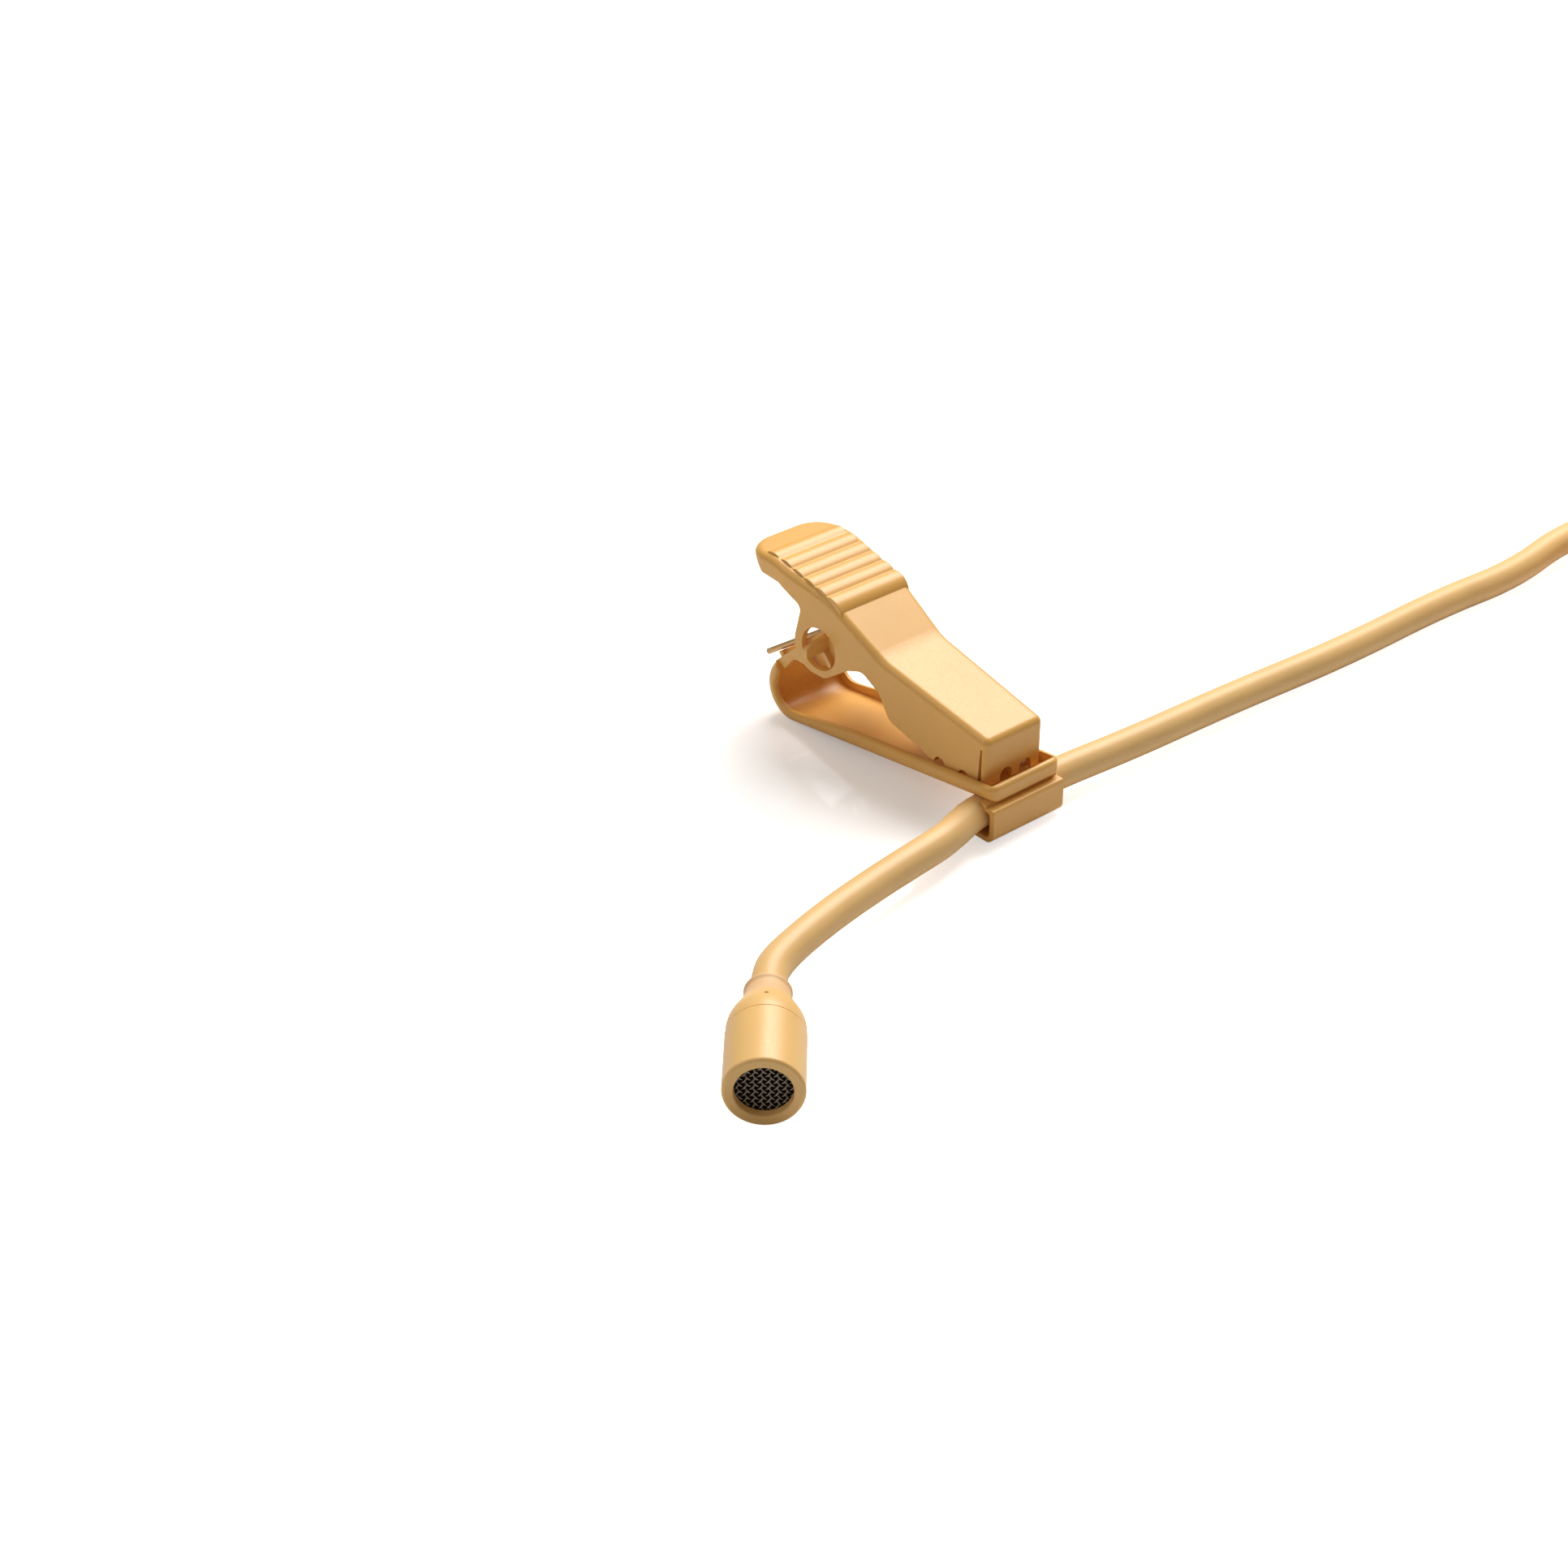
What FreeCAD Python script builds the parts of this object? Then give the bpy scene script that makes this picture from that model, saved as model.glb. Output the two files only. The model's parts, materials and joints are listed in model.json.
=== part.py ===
# A lavalier microphone: a small turned capsule on a thin cable, a sprung sheet-metal clip that holds the
# cable in a loop under its lower jaw, and a locking plug. Millimetres. The frame stands on the surface that
# the microphone lies on: +X runs along the clip towards its jaws, +Y along the cable, +Z up, with the origin
# under the middle of the capsule and the clip.
import FreeCAD, Part
import math
import os
import Sketcher
from FreeCAD import Placement, Rotation, Vector

CELLS = {
    # where the clip stands: its own X and Y start on the cable's axis in the loop
    "clip_x": 5.8,
    "clip_y": 21.4,
    "sheet": 0.55,
    # the lever, seen from above: half its width at the jaw's tip, at the two bends and at the tongue
    "tip_half": 3.5,
    "neck_half": 3.9,
    "ear_half": 4.35,
    "tongue_half": 4.85,
    "tongue_corner": 3.0,
    "front_plate": -0.25,
    "teeth": 4.6,
    "notch": 0.65,
    "slot_half": 0.7,
    "slot_top": 5.8,
    "slit_top": 0.18,
    "slit_foot": 0.42,
    "rib": 1.6,
    "rib_height": 0.2,
    "rib_half": 4.1,
    "rib_pitch": 1.58,
    "edge_round": 0.7,
    # the hinge between the lever and the lower jaw
    "pivot_x": -21.35,
    "pivot_z": 9.88,
    "pivot_hole": 2.1,
    "lug_half": 4.25,
    "near_tab": 6.25,
    "far_tab": 4.9,
    # the lower jaw
    "jaw_half": 4.35,
    "arm_half": 3.7,
    "arm_slope": 42.7,
    "window_half": 3.15,
    "seat_half": 3.0,
    "heel_round": 3.22,
    "lip": 1.45,
    "tray_corner": 1.05,
    "tray_fold": 0.4,
    "cable_x": -0.4,
    "cable_z": 2.45,
    "loop_bore": 1.62,
    "loop_front": -4.6,
    "loop_length": 8.6,
    # the spring
    "wire": 0.6,
    "spring_radius": 1.32,
    "spring_half": 1.45,
    "lower_leg": 10.2,
    "upper_leg": 7.75,
    "leg_down": 215,
    "leg_up": 122,
    # the cable and its put-away coil
    "cable": 3.0,
    "coil_x": 34.7,
    "coil_y": 111.4,
    "coil_z": 2.1,
    "coil_radius": 18.0,
    "coil_step": 3.45,
    "tie_width": 6.0,
    "tie_sheet": 0.5,
    # where the capsule lies, and its stations along its axis
    "capsule_x": 15.11,
    "capsule_y": -15.06,
    "capsule_heading": -41.7,
    "collar_end": -0.7,
    "cap_rear": 1.85,
    "cap_wall": 0.6,
    "vent": 3.3,
    "shoulder": 3.9,
    "seam": 5.2,
    "spigot": 0.7,
    "rim": 11.3,
    "front": 12.1,
    "can_rear": 6.5,
    "can_front": 10.6,
    "can_sheet": 0.2,
    "conductor_radius": 0.35,
    "conductor_off": 0.7,
    "grille": 10.95,
    "grille_sheet": 0.25,
    "cloth": 10.68,
    "cloth_sheet": 0.2,
    # the capsule's radii
    "capsule_radius": 3.25,
    "housing_bore": 2.95,
    "rim_opening": 2.32,
    "cap_radius": 3.22,
    "cap_throat": 2.36,
    "cap_hole": 1.65,
    "cap_bore": 2.5,
    "spigot_radius": 2.9,
    "can_radius": 2.86,
    "can_bore": 2.68,
    "can_lip": 2.4,
    "inner_radius": 2.64,
    "ring_bore": 2.2,
    "collar_bore": 1.52,
    "collar_neck": 1.86,
    "collar_lip": 1.98,
    "flange_radius": 1.9,
    "waist": 1.63,
    "grille_radius": 2.8,
    "grille_pitch": 0.44,
    "grille_gap": 0.29,
    "air": 0.02,
    # the plug: where its boot starts, and its stations along its axis
    "plug_x": 60.3,
    "plug_y": 84.0,
    "boot_front": 10.0,
    "handle_rear": 10.1,
    "handle_front": 27.0,
    "collar_rear": 27.1,
    "collar_front": 37.0,
    "shank": 37.6,
    "plug_tip": 51.6,
    # the plug's radii
    "handle_radius": 4.9,
    "handle_bore": 4.1,
    "thread_radius": 3.9,
    "body_radius": 2.5,
    "shank_radius": 1.75,
}

doc = FreeCAD.newDocument("lavalier_microphone")
sheet = doc.addObject("Spreadsheet::Sheet", "sizes")
for row, (alias, number) in enumerate(CELLS.items(), 1):
    sheet.set(f"A{row}", alias)
    sheet.set(f"B{row}", str(number))
    sheet.setAlias(f"B{row}", alias)
doc.recompute()

parts = []


def value(text):
    """The number that a sum of cell names and plain numbers comes to."""
    total, sign = 0.0, 1
    for word in str(text).split():
        if word in "+-":
            sign = 1 if word == "+" else -1
            continue
        name = word.lstrip("-")
        number = CELLS[name] if name in CELLS else float(name)
        total += -sign * number if word.startswith("-") else sign * number
        sign = 1
    return total


def bound(text):
    """The same sum, written with references to the sheet."""
    words = []
    for word in str(text).split():
        name = word.lstrip("-")
        words.append(word.replace(name, "sizes." + name) if name in CELLS else word)
    return " ".join(words)


def bind(thing, setting, text):
    """Sets a size from a sum of cells, and ties it to them."""
    setattr(thing, setting, value(text))
    if isinstance(text, str):
        thing.setExpression(setting, bound(text))


def keep(part, label, place):
    """Gives a finished sub-part its name and its place."""
    part.Label = label
    part.Placement = place
    parts.append(part)
    return part


def clip_place():
    return Placement(Vector(value("clip_x"), value("clip_y"), 0), Rotation())


def capsule_place():
    middle = Vector(value("capsule_x"), value("capsule_y"), value("capsule_radius"))
    return Placement(middle, Rotation(Vector(0, 0, 1), value("capsule_heading")))


def plug_place():
    middle = Vector(value("plug_x"), value("plug_y"), value("handle_radius"))
    return Placement(middle, Rotation(Vector(0, 0, 1), -90))


# Sketches and features


class Outline:
    """A closed outline in a sketch, with the corners that have a third entry rounded to that radius."""

    def __init__(self, sketch, corners):
        self.sketch = sketch
        self.rules = []
        self.names = []
        spots = [Vector(value(c[0]), value(c[1]), 0) for c in corners]
        ends = []
        for k, spot in enumerate(spots):
            back = (spots[k - 1] - spot).normalize()
            ahead = (spots[(k + 1) % len(spots)] - spot).normalize()
            reach = 0
            if len(corners[k]) > 2:
                reach = value(corners[k][2]) / math.tan(back.getAngle(ahead) / 2)
            ends.append((spot + back * reach, spot + ahead * reach, back, ahead))
        lines = []
        for k, end in enumerate(ends):
            run = Part.LineSegment(end[1], ends[(k + 1) % len(ends)][0])
            lines.append(sketch.addGeometry(run))
        for k, corner in enumerate(corners):
            if len(corner) > 2:
                self.round(corner, spots[k], ends[k], lines[k - 1], lines[k])
            else:
                self.rules.append(Sketcher.Constraint("Coincident", lines[k - 1], 2, lines[k], 1))
                self.at(corner, lines[k], 1)
        first = sketch.ConstraintCount
        sketch.addConstraint(self.rules)
        for index, text in self.names:
            sketch.setExpression(f"Constraints[{first + index}]", bound(text))

    def size(self, kind, *where, text):
        self.rules.append(Sketcher.Constraint(kind, *where, value(text)))
        if isinstance(text, str):
            self.names.append((len(self.rules) - 1, text))

    def at(self, corner, line, end):
        self.size("DistanceX", -1, 1, line, end, text=corner[0])
        self.size("DistanceY", -1, 1, line, end, text=corner[1])

    def round(self, corner, spot, end, before, after):
        """An arc that touches both runs, with the sharp corner kept as a point on them."""
        start, finish, back, ahead = end
        half = back.getAngle(ahead) / 2
        radius = value(corner[2])
        middle = spot + (back + ahead).normalize() * (radius / math.sin(half))
        angles = [math.atan2(p.y - middle.y, p.x - middle.x) for p in (start, finish)]
        left = back.cross(ahead).z < 0
        if not left:
            angles.reverse()
        if angles[1] < angles[0]:
            angles[1] += 2 * math.pi
        circle = Part.Circle(middle, Vector(0, 0, 1), radius)
        arc = self.sketch.addGeometry(Part.ArcOfCircle(circle, *angles))
        mark = self.sketch.addGeometry(Part.Point(spot), True)
        self.rules.append(Sketcher.Constraint("Tangent", before, 2, arc, 1 if left else 2))
        self.rules.append(Sketcher.Constraint("Tangent", arc, 2 if left else 1, after, 1))
        self.rules.append(Sketcher.Constraint("PointOnObject", mark, 1, before))
        self.rules.append(Sketcher.Constraint("PointOnObject", mark, 1, after))
        self.size("Radius", arc, text=corner[2])
        self.at(corner, mark, 1)


def draw(body, name, plane, outlines=(), circles=(), off=0):
    """A sketch on one of the body's own planes or off it, with outlines and circles (x, y, radius)."""
    sketch = body.newObject("Sketcher::SketchObject", name)
    face = [f for f in body.Origin.OriginFeatures if f.Role == plane + "_Plane"][0]
    sketch.AttachmentSupport = [(face, "")]
    sketch.MapMode = "FlatFace"
    sketch.AttachmentOffset = Placement(Vector(0, 0, off), Rotation())
    for corners in outlines:
        Outline(sketch, corners)
    for x, y, radius in circles:
        middle = Vector(value(x), value(y), 0)
        index = sketch.addGeometry(Part.Circle(middle, Vector(0, 0, 1), value(radius)))
        first = sketch.ConstraintCount
        sizes = [("DistanceX", (-1, 1, index, 3), x), ("DistanceY", (-1, 1, index, 3), y)]
        sizes.append(("Radius", (index,), radius))
        for step, (kind, where, text) in enumerate(sizes):
            sketch.addConstraint(Sketcher.Constraint(kind, *where, value(text)))
            if isinstance(text, str):
                sketch.setExpression(f"Constraints[{first + step}]", bound(text))
    return sketch


def grow(body, sketch, width):
    """A pad that reaches as far to both sides of its sketch, with the given width in all."""
    pad = body.newObject("PartDesign::Pad", sketch.Name + "_pad")
    pad.Profile = sketch
    pad.SideType = "Symmetric"
    bind(pad, "Length", width)
    doc.recompute()
    return pad


def cut(body, sketch, width):
    """A pocket to both sides of its sketch, which has to take something away."""
    before = body.Shape.Volume
    pocket = body.newObject("PartDesign::Pocket", sketch.Name + "_pocket")
    pocket.Profile = sketch
    pocket.SideType = "Symmetric"
    bind(pocket, "Length", width)
    doc.recompute()
    if body.Shape.Volume > before - 1e-4:
        raise RuntimeError(f"{pocket.Name} takes nothing away")
    return pocket


def turned(label, corners, place):
    """A piece turned about its own X axis; its corners are (along the axis, radius)."""
    body = doc.addObject("PartDesign::Body", label)
    sketch = draw(body, label + "_profile", "XY", [corners])
    solid = body.newObject("PartDesign::Revolution", label + "_turned")
    solid.Profile = sketch
    solid.ReferenceAxis = (sketch, ["H_Axis"])
    solid.Angle = 360
    doc.recompute()
    return keep(body, label, place)


def tube(label, rear, front, bore, radius, place):
    """A plain ring, or a disc where the bore is 0."""
    corners = [(rear, bore), (front, bore), (front, radius), (rear, radius)]
    return turned(label, corners, place)


# The capsule


def cable_grommet():
    flange = "cap_rear + cap_wall"
    corners = [
        ("collar_end", "collar_bore"),
        ("collar_end", "collar_lip - 0.06"),
        ("collar_end + 0.12", "collar_lip"),
        ("collar_end + 0.3", "collar_lip"),
        ("collar_end + 0.6", "collar_neck", 0.6),
        (1.2, 2.08, 3),
        ("cap_rear", "cap_throat"),
        ("cap_rear", "waist"),
        (flange, "waist"),
        (flange, "flange_radius"),
        (flange + " + 0.4", "flange_radius"),
        (flange + " + 0.4", "collar_bore"),
    ]
    turned("cable_grommet", corners, capsule_place())


def rear_cap():
    inside = "cap_rear + cap_wall"
    spigot_end = "seam + spigot"
    corners = [
        ("cap_rear", "cap_hole"),
        ("cap_rear", "cap_throat"),
        ("shoulder", "cap_radius", 4),
        ("seam", "cap_radius"),
        ("seam", "spigot_radius"),
        (spigot_end, "spigot_radius"),
        (spigot_end, "cap_bore"),
        ("shoulder", "cap_bore"),
        (inside, "flange_radius + air"),
        (inside, "cap_hole"),
    ]
    body = turned("rear_cap", corners, capsule_place())
    # a tiny vent on top, near the rear
    vent = draw(body, "vent", "XY", circles=[("vent", "0", 0.18)])
    pocket = body.newObject("PartDesign::Pocket", "vent_pocket")
    pocket.Profile = vent
    pocket.Reversed = True
    bind(pocket, "Length", "cap_radius + air")
    before = body.Shape.Volume
    doc.recompute()
    if body.Shape.Volume > before - 1e-4:
        raise RuntimeError("the vent takes nothing away")


def capsule_housing():
    corners = [
        ("seam", "housing_bore"),
        ("seam", "capsule_radius - 0.1"),
        ("seam + 0.1", "capsule_radius"),
        ("front", "capsule_radius", 0.3),
        ("front", "rim_opening", 0.12),
        ("rim", "rim_opening"),
        ("rim", "housing_bore"),
    ]
    turned("capsule_housing", corners, capsule_place())


def square(x, y, half):
    """A square hole's outline, square to the grille's axis and standing on its corner."""
    corners = [(x - half, y), (x, y - half), (x + half, y), (x, y + half)]
    return Part.makePolygon([Vector(0, a, b) for a, b in corners + corners[:1]])


def front_grille():
    """A disc with square gaps in diagonal rows, as a wire mesh laid at 45 degrees has."""
    radius, pitch, gap = value("grille_radius"), value("grille_pitch"), value("grille_gap")
    rim = Part.Wire(Part.makeCircle(radius, Vector(0, 0, 0), Vector(1, 0, 0)))
    count = int(radius / pitch)
    holes = []
    for row in range(-count, count + 1):
        for column in range(-count, count + 1):
            if math.hypot(row, column) * pitch < value("rim_opening") + gap / 2:
                x, y = (row + column) * pitch, (row - column) * pitch
                holes.append(square(x / math.sqrt(2), y / math.sqrt(2), gap / math.sqrt(2)))
    print("grille gaps", len(holes))
    net = Part.Face(Part.Face(rim).cut(Part.Compound([Part.Face(h) for h in holes])).Faces[0])
    grille = doc.addObject("Part::Feature", "front_grille")
    grille.Shape = net.extrude(Vector(value("grille_sheet"), 0, 0))
    place = capsule_place()
    keep(grille, "front_grille", place.multiply(Placement(Vector(value("grille"), 0, 0), Rotation())))


def electret():
    """The pickup inside the housing, from the can to the board."""
    place = capsule_place()
    inside, lip = "can_front - can_sheet", "can_rear + can_sheet"
    can = [
        ("can_rear", "can_lip"),
        ("can_rear", "can_radius", 0.15),
        ("can_front", "can_radius", 0.3),
        ("can_front", 0.5),
        (inside, 0.5),
        (inside, "can_bore"),
        (lip, "can_bore"),
        (lip, "can_lip"),
    ]
    turned("capsule_can", can, place)
    stack = [
        ("diaphragm_ring", 0.28, "ring_bore"),
        ("diaphragm", 0.06, "0"),
        ("spacer_ring", 0.1, "ring_bore"),
        ("backplate", 0.5, "0"),
        ("backplate_holder", 1.6, 2.1),
    ]
    front = "can_front - can_sheet - air"
    for label, thick, bore in stack:
        rear = f"{front} - {thick}"
        tube(label, rear, front, bore, "inner_radius", place)
        front = rear + " - air"
    tube("circuit_board", lip + " + air", lip + " + 0.62", "0", "inner_radius", place)
    tube("acoustic_cloth", "cloth", "cloth + cloth_sheet", "0", "grille_radius", place)
    tube("gasket", "seam + spigot + air", "can_rear - air", 1.9, "can_radius - air", place)
    transistor = doc.addObject("Part::Box", "transistor")
    bind(transistor, "Length", 0.8)
    bind(transistor, "Width", 1.3)
    bind(transistor, "Height", 1.6)
    corner = Vector(value(lip + " + 0.64"), -0.65, -0.8)
    keep(transistor, "transistor", place.multiply(Placement(corner, Rotation())))


def backplate_holes():
    """Six holes through the backplate, in a ring."""
    body = [p for p in parts if p.Label == "backplate"][0]
    sketch = draw(body, "backplate_hole", "YZ", circles=[("0", 1.4, 0.25)])
    before = body.Shape.Volume
    pocket = body.newObject("PartDesign::Pocket", "backplate_pocket")
    pocket.Profile = sketch
    pocket.Type = "ThroughAll"
    pocket.Reversed = True
    doc.recompute()
    ring = body.newObject("PartDesign::PolarPattern", "backplate_ring")
    ring.Originals = [pocket]
    ring.Axis = ([f for f in body.Origin.OriginFeatures if f.Role == "X_Axis"][0], [""])
    ring.Angle = 360
    ring.Occurrences = 6
    body.Tip = ring
    doc.recompute()
    if body.Shape.Volume > before - 0.4:
        raise RuntimeError("the backplate has no holes")


def capsule_cable():
    """The cable's end in the collar and the rear cap, its crimped ferrule and its two conductors."""
    place = capsule_place()
    flange = "cap_rear + cap_wall + 0.4"
    tube("cable_end", "collar_end", "seam + 0.3", "0", 1.5, place)
    tube("cable_ferrule", flange + " + air", "seam", "collar_bore", 1.9, place)
    for side, label in ((-1, "conductor_left"), (1, "conductor_right")):
        wire = doc.addObject("Part::Cylinder", label)
        bind(wire, "Radius", "conductor_radius")
        bind(wire, "Height", "can_rear + can_sheet - seam - 0.3")
        middle = Vector(value("seam + 0.3"), side * value("conductor_off"), 0)
        start = Placement(middle, Rotation(Vector(0, 1, 0), 90))
        keep(wire, label, place.multiply(start))


# The clip


ROOF = [
    ("front_plate", 9.3),
    (-13.6, 11.83, 6),
    (-20.3, 15.35, 6),
    (-27.5, 16.82, 6),
    (-31.9, 16.58),
]
RIB_START = -20.2
RIB_COUNT = 6
SIDE_NOTCHES = (-2.9, -5.9)
FRONT_NOTCHES = (-0.95, 1.4)
# wider and higher than anything on the clip, for what goes right through it
THROUGH = 12


def roof_inside(corners, depth):
    """The roof's line moved inward by the sheet's thickness, with its bends kept."""
    spots = [Vector(value(c[0]), value(c[1]), 0) for c in corners]
    lines = []
    for here, there in zip(spots, spots[1:]):
        along = (there - here).normalize()
        inward = Vector(-along.y, along.x, 0)
        lines.append((here + inward * depth, along))
    inner = []
    for (a, u), (b, v) in zip(lines, lines[1:]):
        shift = (b - a).cross(v).z / u.cross(v).z
        inner.append(a + u * shift)
    start, along = lines[0]
    start = start + along * ((spots[0].x - depth - start.x) / along.x)
    return [start, *inner, lines[-1][0] + lines[-1][1] * 8]


def roof_height(x):
    """How high the roof's line is at a place along the clip."""
    for here, there in zip(ROOF, ROOF[1:]):
        start, end = value(here[0]), value(there[0])
        if end <= x <= start:
            return here[1] + (there[1] - here[1]) * (x - start) / (end - start)
    raise ValueError(f"no roof at {x}")


def plan(sides):
    """What lies outside the lever, seen from above: a frame round an outline that is alike on both sides."""
    near = [(x, half) + tuple(more) for x, half, *more in sides]
    far = [(x, "-" + str(half)) + tuple(more) for x, half, *more in reversed(sides)]
    frame = [(5, -9), (5, 9), (-40, 9), (-40, -9)]
    return [frame, near + far]


def clip_lever():
    outer = doc.addObject("PartDesign::Body", "lever_outside")
    side = ROOF + [
        (-31.9, 16.0),
        (-30.4, 16.05, 0.5),
        (-29.0, 14.85, 0.6),
        (-26.6, 14.8, 1.0),
        (-23.6, 13.4, 0.8),
        (-25.1, 7.2, 2.7),
        (-20.5, 7.1, 1.2),
        (-17.7, 9.1, 1.0),
        (-15.9, 9.75, 1.2),
        (-13.7, 8.4, 1.6),
        (-12.3, 6.15, 1.2),
        (-8.6, 5.25, 0.8),
        (-7.2, "teeth", 0.5),
        ("front_plate", "teeth"),
    ]
    grow(outer, draw(outer, "lever_side", "XZ", [side]), THROUGH)
    sides = [
        ("front_plate", "tip_half"),
        (-13.6, "neck_half", 20),
        (-20.3, "ear_half", 20),
        (-26.0, "tongue_half", 12),
        (-31.85, 4.6, "tongue_corner"),
    ]
    cut(outer, draw(outer, "lever_plan", "XY", plan(sides)), 5 * THROUGH)
    round_top_edges(outer)

    ears = draw(outer, "ear_holes", "XZ", circles=[("pivot_x", "pivot_z", "pivot_hole")])
    cut(outer, ears, THROUGH)
    scallops = [(x, "teeth", "notch") for x in SIDE_NOTCHES]
    cut(outer, draw(outer, "side_notches", "XZ", circles=scallops), THROUGH)
    slots = []
    for middle in FRONT_NOTCHES:
        left, right = f"{middle} - slot_half", f"{middle} + slot_half"
        slots.append([(left, 4), (left, "slot_top", "notch"), (right, "slot_top", "notch"), (right, 4)])
    cut(outer, draw(outer, "front_notches", "YZ", slots), 4)
    slit = [
        ("front_plate - sheet", 4),
        ("front_plate - sheet", 8.26),
        ("front_plate - sheet - slit_top", 8.26),
        ("front_plate - sheet - slit_foot", 4),
    ]
    cut(outer, draw(outer, "corner_slits", "XZ", [slit]), THROUGH)
    # low ribs across the tongue, each a round bar sunk into the roof
    for number in range(RIB_COUNT):
        x = RIB_START - value("rib_pitch") * number
        z = roof_height(x) - value("rib - rib_height")
        rib = draw(outer, f"rib_{number}", "XZ", circles=[(x, z, "rib")])
        grow(outer, rib, "rib_half + rib_half")

    inner = doc.addObject("PartDesign::Body", "lever_inside")
    ceiling = roof_inside(ROOF, value("sheet"))
    hollow = [(p.x, p.y) for p in ceiling]
    hollow += [(ceiling[-1].x, 2.0), (ceiling[0].x, 2.0)]
    grow(inner, draw(inner, "hollow_side", "XZ", [hollow]), THROUGH)
    inset = [(x, f"{half} - sheet") for x, half, *more in sides[:4]]
    room = [(x, half) for x, half in inset[1:]] + [(-42, "tongue_half - sheet")]
    room = [("front_plate - sheet", "tip_half - sheet")] + room
    far = [(x, "-" + half.replace(" - ", " + ")) for x, half in reversed(room)]
    frame = [(5, -9), (5, 9), (-42.5, 9), (-42.5, -9)]
    cut(inner, draw(inner, "hollow_plan", "XY", [frame, room + far]), 5 * THROUGH)

    shell = doc.addObject("Part::Cut", "lever_shell")
    shell.Base = outer
    shell.Tool = inner
    doc.recompute()
    keep(shell, "clip_lever", clip_place())


def round_top_edges(body):
    """Rounds the folds between the roof and the sides, round the front plate and along its two sides."""
    doc.recompute()
    roof = [Vector(value(c[0]), 0, value(c[1])) for c in ROOF]
    names = []
    for number, edge in enumerate(body.Shape.Edges, 1):
        middle = edge.valueAt((edge.FirstParameter + edge.LastParameter) / 2)
        on_side = abs(middle.y) > value("tip_half") - 0.05
        gap = min(
            Vector(middle.x, 0, middle.z).distanceToLineSegment(a, b).Length
            for a, b in zip(roof, roof[1:])
        )
        front = abs(middle.x - value("front_plate")) < 0.01 and middle.z > value("teeth") + 0.1
        if front or (on_side and gap < 0.12):
            names.append(f"Edge{number}")
    base = body.Tip
    fillet = body.newObject("PartDesign::Fillet", "folds")
    fillet.Base = (base, names)
    bind(fillet, "Radius", "edge_round")
    doc.recompute()


def on_return(along, off):
    """A point beside the pivot: along the return arm's line and square to it."""
    slope = math.radians(value("arm_slope"))
    x = value("pivot_x") + along * math.cos(slope) - off * math.sin(slope)
    z = value("pivot_z") + along * math.sin(slope) + off * math.cos(slope)
    return x, z


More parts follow.
